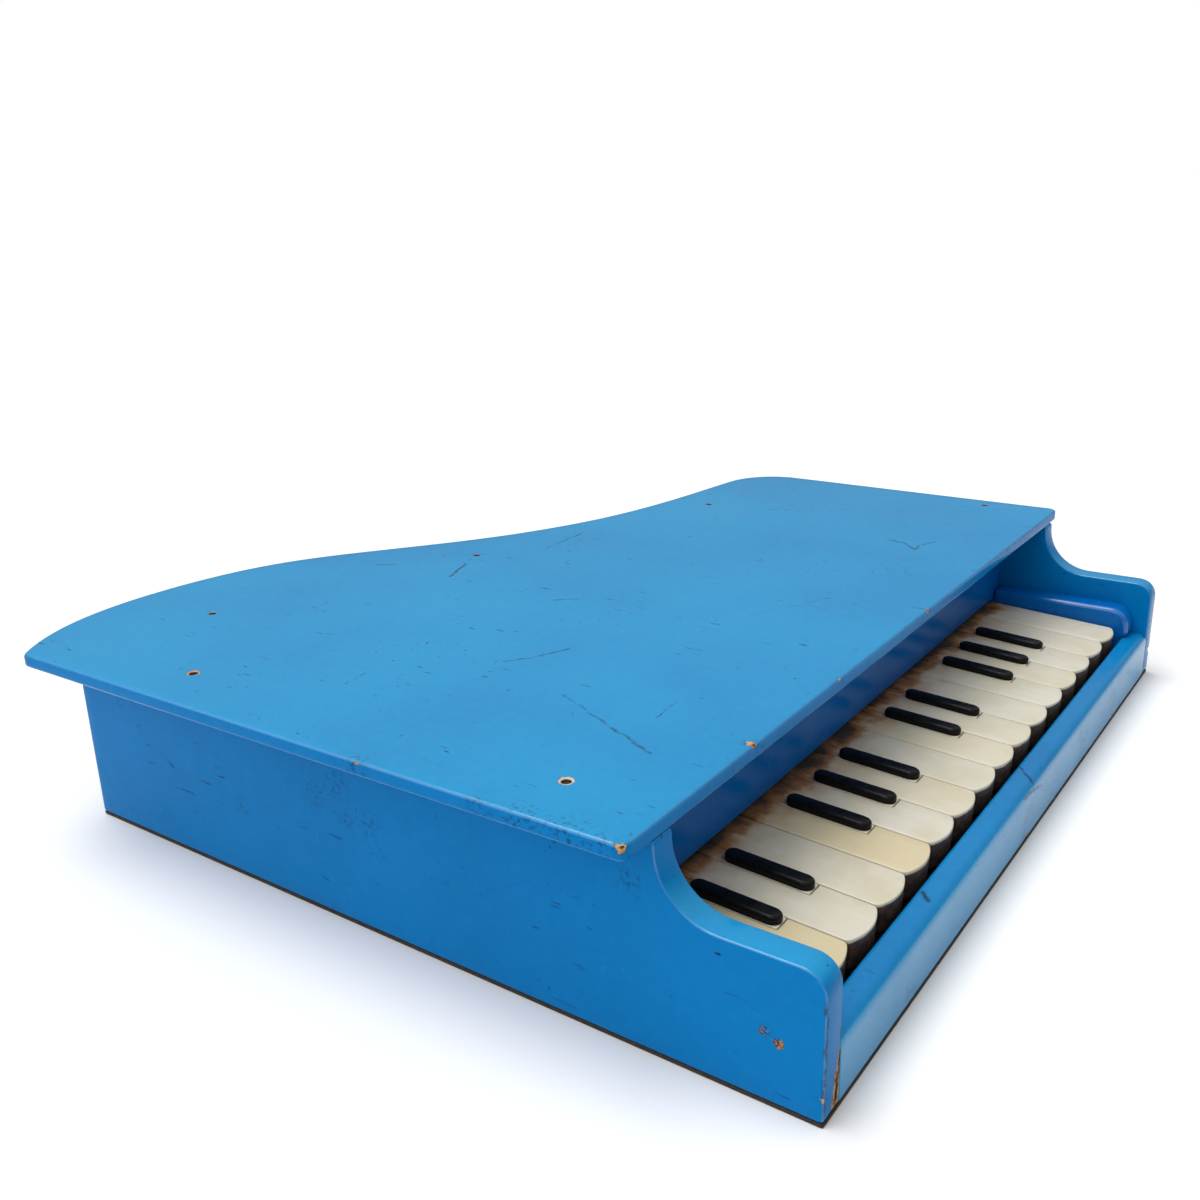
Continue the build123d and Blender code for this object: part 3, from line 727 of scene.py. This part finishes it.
def countersinks(verts, bare):
    """Sinks a ragged dish and a throat round each lid screw, with a raised lip, and bares the wood."""
    verts = verts.copy()
    top = np.abs(verts[:, 2] - LID_TOP) < 0.3 * MM
    for k, (x, y) in enumerate(SCREWS):
        away = np.hypot(verts[:, 0] - x, verts[:, 1] - y)
        lip = PIT_R * PIT_SHARE[k] * (1 + waves(verts, 1.5 * MM, 0.18, 40 + k))
        near = top & (away < 2 * PIT_R)
        dish = np.clip((lip - away) / (lip - 1.4 * MM), 0, 1) * DISH_DEPTH
        throat = np.clip((THROAT_R - away) / (0.5 * MM), 0, 1) * THROAT_DEPTH
        verts[near, 2] -= (dish + throat)[near]
        raised = np.exp(-((away - lip - 0.5 * MM) / (0.5 * MM)) ** 2) * 0.06 * MM
        verts[near, 2] += raised[near]
        pale = BARE_SHARE[k] * np.clip((lip + 0.25 * MM - away) / (0.5 * MM), 0, 1)
        # past 1, the throat is painted near-black, as painted shade down it
        dark = np.where(away < THROAT_R, 1.25, 0) * np.clip((1.9 * MM - away) / (0.4 * MM), 0, 1)
        bare[near] = np.maximum(bare[near], np.maximum(pale, dark)[near])
    return verts, bare


LINE_SPREAD = 1.3                    # a stroke fades out to its width, so it's drawn wider than it looks
# scratches seen on the lid, in mm from the case's corner, as (from, to, half width, strength)
LID_MARKS = [
    ((70.9, 162.6), (82.4, 154.7), 0.45, 1.0), ((82.4, 154.7), (93.7, 149.9), 0.7, 1.0),
    ((58.1, 126.0), (48.4, 104.8), 0.45, 0.8), ((48.4, 104.8), (36.4, 76.5), 0.8, 0.8),
    ((59.7, 89.3), (72.6, 90.0), 0.45, 0.8), ((137.7, 248.3), (156.6, 255.8), 0.9, 1.0),
    ((194.9, 238.5), (225.3, 239.0), 0.8, 0.7), ((135.9, 189.1), (141.6, 181.4), 0.6, 0.9),
    ((25.6, 197.4), (36.2, 198.8), 0.5, 0.7), ((132.0, 292.7), (139.6, 283.0), 0.7, 0.8),
    ((286.8, 104.4), (286.0, 95.6), 0.8, 1.0), ((286.0, 95.6), (277.5, 87.4), 0.8, 1.0),
    ((277.5, 87.4), (284.7, 87.8), 0.7, 1.0), ((284.7, 87.8), (295.0, 84.0), 0.6, 0.8),
    ((160.0, 110.0), (196.0, 92.0), 0.4, 0.5), ((310.0, 180.0), (330.0, 140.0), 0.5, 0.6),
]
lid_strokes = [
    (at(*a, LID_TOP / MM), at(*b, LID_TOP / MM), LINE_SPREAD * width * MM, strength)
    for a, b, width, strength in LID_MARKS
]
lid_smudges = [
    (at(-15, y, 73), radius * MM, 0.7)
    for y, radius in ((102, 9), (87, 12), (72, 14), (60, 10), (150, 8))
]
lid_chips = [
    (at(-13.2, 53.6, 75), 2.6 * MM, 0.8 * MM), (at(58.5, 53.2, 75.4), 2.0 * MM, 0.5 * MM),
    (at(120, 52.6, 75.4), 1.2 * MM, 0.3 * MM), (at(203, 52.6, 75.2), 1.6 * MM, 0.35 * MM),
    (at(300, 52.6, 75.4), 1.2 * MM, 0.3 * MM), (at(381.5, 54, 75), 1.8 * MM, 0.5 * MM),
    (at(-16, 150, 75.2), 1.4 * MM, 0.3 * MM), (at(-19.5, 326, 75), 1.6 * MM, 0.4 * MM),
]
paint_lid = painted("lid_enamel", LIT_BLUES, SHADED_BLUES, lid_strokes, lid_smudges,
                    faded=[Vector((*SCREWS[FRONT_LEFT], LID_TOP))])
board(
    "lid", (0, 1), (1.2 * MM, 1.3 * MM), paint_lid, lid_chips, grid=4.5 * MM, soften=1.0 * MM,
    rings_round=[(s, PIT_RINGS) for s in SCREWS], seed=3, dents=countersinks,
)

side_strokes = [
    (at(0, 274, 39), at(0, 269, 35.6), 0.7 * MM, 0.9), (at(0, 265, 27), at(0, 258, 26.5), 0.6 * MM, 0.9),
    (at(0, 258.4, 20.5), at(0, 258, 19), 0.5 * MM, 0.9), (at(0, 120, 30), at(0, 96, 44), 0.35 * MM, 0.35),
    (at(0.5, 0.3, 4), at(0.5, 0.3, 39), 0.8 * MM, 1.0), (at(9.6, 0.2, 12), at(9.6, 0.2, 27), 0.7 * MM, 1.0),
]
side_smudges = [
    (at(0, y, z), r * MM, 0.65)
    for y, z, r in ((189, 46, 9), (178, 52, 10), (175, 41, 6), (164, 42, 9), (230, 30, 7), (60, 55, 8))
]
cheek_chips = [(at(0, 17.9, 23.9), 1.3 * MM, 0.2 * MM), (at(0.3, 0.4, 9), 0.9 * MM, 0.2 * MM)]
bald_cheek = [(at(7.4, 0, 3.5), at(8.4, 0, 12), 4.6 * MM), (at(9.0, 0, 12), at(9.4, 0, 19), 2.6 * MM)]
paint_left = painted("left_side_enamel", LIT_BLUES, SHADED_BLUES, side_strokes, side_smudges, bald_cheek)
paint_case = painted("case_enamel", LIT_BLUES, SHADED_BLUES)
# the parts under the lid: their own deeper paint, darkened further as painted shade
paint_inner_shaded = painted("inner_enamel_shaded", INNER_SHADED_BLUES, INNER_SHADED_BLUES, sheen=(0.2, 0.15))
board("left_side", (1, 2), (0.8 * MM, 0.8 * MM), paint_left, cheek_chips, soften=0.9 * MM, seed=5,
      cut=0.2)
case_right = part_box("right_side")[1].x
right_chips = [
    (Vector((case_right, CASE.y + y * MM, z * MM)), r * MM, d * MM)
    for y, z, r, d in (
        (0.4, 12, 1.8, 0.5), (17.9, 23.9, 1.7, 0.4), (13.7, 21.6, 1.6, 0.4), (120, 2.6, 2.0, 0.5),
    )
]
board("right_side", (1, 2), (0.8 * MM, 0.8 * MM), paint_case, right_chips, soften=0.9 * MM, seed=7,
      cut=0.2)

rail_strokes = [
    (at(191, 9, 23), at(184, 3, 23), 1.0 * MM, 1.0), (at(184, 3, 23), at(181, 0, 20), 1.0 * MM, 1.0),
    (at(181, 0, 20), at(192, 0, 16.5), 0.8 * MM, 1.0), (at(181, 0, 20), at(170, 0, 20.5), 0.8 * MM, 1.0),
    (at(84, 5, 23), at(88, 8, 23), 1.4 * MM, 1.0), (at(176, 0, 8), at(168, 0, 3), 0.8 * MM, 0.8),
]
rail_smudges = [
    (at(x, 0, z), r * MM, 0.6) for x, z, r in ((178, 12, 12), (250, 14, 9), (300, 10, 11), (60, 6, 8))
]
# the rail's top takes deeper blues of its own and its front the paler lit ones, as a painted reflection of
# the bright surroundings
paint_rail = painted("rail_enamel", RAIL_TOP_BLUES, LIT_BLUES, rail_strokes, rail_smudges,
                     sheen=(0.2, 0.45))
rail_chips = [(at(84.5, 6.5, 23), 1.4 * MM, 0.5 * MM), (at(188, 4, 22.6), 1.2 * MM, 0.35 * MM),
              (at(176, 0, 2.8), 1.8 * MM, 0.5 * MM)]
board("front_rail", (1, 2), (0.3 * MM, 0.3 * MM), paint_rail, rail_chips, soften=0.5 * MM, seed=9,
      grid=3 * MM, cut=0.1)
board("left_key_block", (1, 2), (0.3 * MM, 2.6 * MM), paint_inner_shaded, soften=1.6 * MM, seed=11, grid=3 * MM)
board("right_key_block", (1, 2), (2.6 * MM, 0.3 * MM), paint_inner_shaded, soften=1.6 * MM, seed=12, grid=3 * MM)
board("fallboard", (0, 2), (0.5 * MM, 0.5 * MM), paint_inner_shaded, soften=0.5 * MM, seed=13)
board("back_panel", (0, 1), (0.5 * MM, 0.5 * MM), paint_case, soften=0.5 * MM, seed=15)

dark_board = timber("fibreboard", (0.030, 0.021, 0.016), (0.012, 0.009, 0.008), 0.8, (1, 1, 1), 0.0015)
board("base_board", (0, 1), (0.4 * MM, 0.4 * MM), dark_board, grid=8 * MM, soften=0.5 * MM, seed=17,
      uneven=0.02 * MM, slot="fibreboard")

# ================================================================ fasteners
old_steel = metal("old_steel", (0.30, 0.27, 0.24), 0.45, rust=0.8)
clean_steel = metal("clean_steel", (0.50, 0.49, 0.47), 0.32, rust=0.15)


def merge(parts):
    """Several (vertices, faces) as one."""
    verts, faces, count = [], [], 0
    for v, f in parts:
        verts.append(v)
        faces += [tuple(i + count for i in face) for face in f]
        count += len(v)
    return np.vstack(verts), faces


low, top = (corner.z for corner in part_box("lid_screws"))
screw_profile = [                    # its point, shank, head and the recess in it
    (0.2 * MM, low), (1.1 * MM, low + 3 * MM), (1.1 * MM, top - 1.0 * MM), (1.35 * MM, top - 0.3 * MM),
    (1.2 * MM, top), (0.7 * MM, top), (0.6 * MM, top - 0.5 * MM), (0.05 * MM, top - 0.6 * MM),
]
verts, faces = merge([lathe(screw_profile, (x, y, 0), CIRCLE_POINTS) for x, y in SCREWS])
put(build("lid_screws_rusty", verts, faces, [old_steel]), "case", "steel", "lid_screws")

# ================================================================ keys
paint_key = key_paint()
plain_wood = timber("beech", (0.480, 0.290, 0.150), (0.330, 0.180, 0.085), 0.6, GRAIN_Z, 0.002)
red_felt = felt()
black = black_gloss()
NOSE_REACH = 0.45 * MM               # how far a black key's nose comes forward of the CAD's
CREAM_END = 33.0                     # the cream paint ends this many mm in front of the pivot
YELLOW = {1: 0.75, 3: 0.08, 4: 0.7, 6: 0.2, 8: 0.25, 9: 0.12, 12: 0.15, 14: 0.1}


def moved(verts, matrix):
    """An array of points after a matrix."""
    return verts @ np.array(matrix.to_3x3()).T + np.array(matrix.translation)


def hammer_parts(node, to_row):
    """The hammer's post and tip on a lever, turned with a waist and a domed felt."""
    solids = [moved(p, to_row.inverted()) for p in loose_parts(node)]
    small = sorted((p for p in solids if np.ptp(p[:, 1]) < 10 * MM), key=lambda p: p[:, 2].min())
    shapes = []
    for k, p in enumerate(small):
        r = np.ptp(p[:, 0]) / 2
        low, high = p[:, 2].min(), p[:, 2].max()
        tall = high - low
        if k == 0:
            profile = [
                (r, low), (r, low + 0.12 * tall), (r * 0.78, low + 0.24 * tall),
                (r * 0.7, low + 0.5 * tall), (r * 0.8, low + 0.8 * tall), (r, low + 0.9 * tall), (r, high),
            ]
        else:
            profile = [
                (r, low), (r, low + 0.45 * tall), (r * 0.93, low + 0.7 * tall),
                (r * 0.7, low + 0.9 * tall), (r * 0.25, high),
            ]
        verts, faces = lathe(profile, (middle(p, 0), middle(p, 1), 0), 20)
        shapes.append((moved(verts, to_row), faces))
    return shapes


def lever(node, number, white):
    """Replaces a key's lever by one with softened edges, its hammer on it. Returns it and its frame."""
    to_row = key_frame(node)
    flat = to_row.inverted()
    body = max((moved(p, flat) for p in loose_parts(node)), key=lambda p: np.ptp(p[:, 1]))
    low, high = body[:, 2].min(), body[:, 2].max()
    outline = even(section(node, (0, 1), high - 1.2 * MM, flat), 0.9 * MM, 0.35 * MM)
    verts, faces, edge = slab(outline, low, high, (0.5 * MM, 0.55 * MM if white else 0.4 * MM), 3.5 * MM)
    if not white:                    # the top reaches out towards the keys around it
        upper = np.clip(verts[:, 2] / high, 0, 1)
        front = np.clip((verts[:, 1].min() + 1.0 * MM - verts[:, 1]) / MM, 0, 1)
        centre = middle(verts, 0)
        wider = np.where(verts[:, 0] > centre, 0.5 * MM, -0.2 * MM)
        verts[:, 0] += wider * np.clip(np.abs(verts[:, 0] - centre) / (3 * MM), 0, 1) * upper
        verts[:, 1] -= NOSE_REACH * front * upper
    raised = waves(verts, 16 * MM, 0.05 * MM, number * 3 + (0 if white else 50)) - 0.05 * MM
    verts[:, 2] += np.where(verts[:, 2] > 0, raised, -raised)
    layers = {                       # down and back are in mm
        "edge": edge,
        "down": (high - verts[:, 2]) / MM,
        "back": verts[:, 1] / MM + CREAM_END,
        "tint": np.full(len(verts), YELLOW.get(number, 0.0) if white else 0.0),
    }
    parts = [(moved(verts, to_row), faces), *hammer_parts(node, to_row)]
    verts, all_faces = merge(parts)
    slots = [0] * len(faces) + [1] * len(parts[1][1]) + [2] * len(parts[2][1])
    spare = len(verts) - len(layers["edge"])
    layers = {k: np.concatenate([v, np.zeros(spare)]) for k, v in layers.items()}
    piece = build(node + "_lever", verts, all_faces, [paint_key, plain_wood, red_felt], layers, slots)
    return put(piece, node, "key_wood" if white else "stained_wood", node), to_row


for number, node in enumerate(WHITE_KEYS, start=1):
    lever(node, number, white=True)
for number, node in enumerate(BLACK_KEYS, start=1):
    _, to_row = lever(node, number, white=False)
    cap_node = node.replace("key", "cap")
    flat = to_row.inverted()
    solid = moved(loose_parts(cap_node)[0], flat)
    low, high = solid[:, 2].min(), solid[:, 2].max()
    outline = even(section(cap_node, (0, 1), low + 0.5 * MM, flat), 0.45 * MM, 0.25 * MM)
    verts, faces, edge = slab(outline, low, high, (0.1 * MM, 1.25 * MM), 1.6 * MM, bevel_steps=6)
    verts[:, 1] -= NOSE_REACH * np.clip((verts[:, 1].min() + 4 * MM - verts[:, 1]) / (4 * MM), 0, 1)
    across = verts[:, 0] - verts[:, 0].mean()
    crown = np.where(verts[:, 2] > high - 1.3 * MM, (across / (3.2 * MM)) ** 2 * 0.22 * MM, 0)
    verts[:, 2] -= crown
    worn_down = waves(verts, 8 * MM, 0.05 * MM, number) - 0.05 * MM
    verts[:, 2] += np.where(verts[:, 2] > low + 0.5 * MM, worn_down, 0)
    finished = build(cap_node + "_glossy", moved(verts, to_row), faces, [black], {"edge": edge})
    put(finished, node, "black_plastic", cap_node)

# ================================================================ springs under the keys
KEY_OF = {round(JOINTS[key]["pos_m"][0], 4): key for key in [*WHITE_KEYS, *BLACK_KEYS]}
WIRE_R = 0.28 * MM
TURNS = 7
STEPS_A_TURN = 20
CLOSER_ENDS = 0.35                   # how much closer together the turns are at the ends, as a share


def coil(x, y, r, low, high):
    """A coil spring of round wire with closed ends."""
    steps, sides = TURNS * STEPS_A_TURN, 8
    height = high - low - 2 * WIRE_R
    centre, frames = [], []
    for k in range(steps + 1):
        t = k / steps
        turn = 2 * math.pi * TURNS * t
        rise = low + WIRE_R + height * (t - CLOSER_ENDS * math.sin(2 * math.pi * t) / (2 * math.pi))
        out = Vector((math.cos(turn), math.sin(turn), 0))
        centre.append(Vector((x, y, rise)) + out * (r - WIRE_R))
        frames.append(out)
    verts, faces = [], []
    for c, out in zip(centre, frames):
        for s in range(sides):
            a = 2 * math.pi * s / sides
            verts.append((c + out * WIRE_R * math.cos(a) + Vector((0, 0, 1)) * WIRE_R * math.sin(a))[:])
    for k in range(steps):
        a, b = k * sides, (k + 1) * sides
        faces += [(a + s, b + s, b + (s + 1) % sides, a + (s + 1) % sides) for s in range(sides)]
    faces.append(tuple(range(sides)))
    faces.append(tuple(range(steps * sides, (steps + 1) * sides))[::-1])
    return np.array(verts), faces


spring_steel = metal("spring_steel", (0.42, 0.42, 0.43), 0.3, rust=0.1)
for p in loose_parts("key_return_springs"):
    x, y = middle(p, 0), middle(p, 1)
    low, high = p[:, 2].min(), p[:, 2].max()
    key = min(KEY_OF.items(), key=lambda item: abs(item[0] - x))[1]
    verts, faces = coil(x, y, np.ptp(p[:, 0]) / 2, low, high)
    piece = build(f"spring_{key}", verts, faces, [spring_steel])
    put(piece, "case", "steel", "key_return_springs")
    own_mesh(piece)

# ================================================================ CAD nodes that keep their shape
pine = timber("pine", (0.560, 0.370, 0.190), (0.420, 0.250, 0.110), 0.65)
bars = metal("bar_alloy", (0.72, 0.73, 0.74), 0.3, rust=0.0, brushed=(1.0, 0.06, 1.0))
KEPT = {
    "corner_blocks": pine, "key_stop_rail": pine, "key_rest_rail": pine, "front_bar_rail": pine,
    "rear_bar_rail": pine, "key_stop_felt": red_felt, "key_rest_felt": red_felt, "tone_bar_felts": red_felt,
    "tone_bars": bars, "tone_bar_pins": clean_steel, "key_guide_pins": clean_steel, "pivot_rod": clean_steel,
    "case_nails": painted_nail(), "base_nails": old_steel,
}
for node, material in KEPT.items():
    nodes[node].data.materials.clear()
    nodes[node].data.materials.append(material)

# ================================================================ floor, light, camera
scene = bpy.context.scene
FAR = 30                             # metres from the middle of the floor to each side
floor_mesh = bpy.data.meshes.new("floor")
floor_mesh.from_pydata([(-FAR, -FAR, 0), (FAR, -FAR, 0), (FAR, FAR, 0), (-FAR, FAR, 0)], [], [(0, 1, 2, 3)])
floor_mesh.materials.append(pale_floor())
floor = bpy.data.objects.new("floor", floor_mesh)
scene.collection.objects.link(floor)

# the sky is dim at the horizon and bright overhead, and plain white where the camera sees it
LOW_SKY, HIGH_SKY = 0.22, 0.95
BRIGHT_FROM = 0.95                   # how high a direction of length one points where it's brightest
SEEN_SKY = 1.0
world = bpy.data.worlds.new("studio")
scene.world = world
world.use_nodes = True
sky = world.node_tree
rise = sky.nodes.new("ShaderNodeSeparateXYZ")
sky.links.new(sky.nodes.new("ShaderNodeTexCoord").outputs["Generated"], rise.inputs[0])
bright = sky.nodes.new("ShaderNodeMapRange")
bright.interpolation_type = "SMOOTHSTEP"
for value, socket in zip((0.0, BRIGHT_FROM, LOW_SKY, HIGH_SKY), list(bright.inputs)[1:5]):
    socket.default_value = value
sky.links.new(rise.outputs["Z"], bright.inputs["Value"])
seen = sky.nodes.new("ShaderNodeLightPath")
pick = sky.nodes.new("ShaderNodeMix")
pick.data_type = "FLOAT"
sky.links.new(seen.outputs["Is Camera Ray"], pick.inputs["Factor"])
sky.links.new(bright.outputs["Result"], pick.inputs["A"])
pick.inputs["B"].default_value = SEEN_SKY
sky.links.new(pick.outputs["Result"], sky.nodes["Background"].inputs["Strength"])
sky.nodes["Background"].inputs["Color"].default_value = (1.0, 1.0, 1.0, 1)


def sunlight(name, towards, strength, spread):
    """Even light from one side of the sky; a wide spread gives soft shadows."""
    light = bpy.data.lights.new(name, "SUN")
    light.energy = strength
    light.angle = math.radians(spread)
    lamp = bpy.data.objects.new(name, light)
    lamp.rotation_euler = Vector(towards).to_track_quat("Z", "Y").to_euler()
    scene.collection.objects.link(lamp)


sunlight("overhead", towards=(-0.05, 0.30, 0.95), strength=1.5, spread=35)
sunlight("window", towards=(-0.85, 0.35, 0.55), strength=1.1, spread=70)

CAMERA_AT = Vector((-0.42415, -0.28025, 0.23940))
HEADING = math.radians(54.32)        # clockwise from +Y, seen from above
PITCH = math.radians(18.91)          # down from level
ROLL = math.radians(1.73)
SENSOR_WIDTH, FOCAL_LENGTH = 36, 36.42
forward = Vector((
    math.sin(HEADING) * math.cos(PITCH), math.cos(HEADING) * math.cos(PITCH), -math.sin(PITCH),
))
level = Vector((math.cos(HEADING), -math.sin(HEADING), 0))
down = forward.cross(level)
right = math.cos(ROLL) * level + math.sin(ROLL) * down
down = -math.sin(ROLL) * level + math.cos(ROLL) * down
lens = bpy.data.cameras.new("camera")
lens.sensor_width = SENSOR_WIDTH
lens.lens = FOCAL_LENGTH
lens.clip_start = 0.01
camera = bpy.data.objects.new("camera", lens)
turn = Matrix((right, -down, -forward)).transposed().to_4x4()
camera.matrix_world = Matrix.Translation(CAMERA_AT) @ turn
scene.collection.objects.link(camera)
scene.camera = camera
scene.view_settings.view_transform = "Standard"
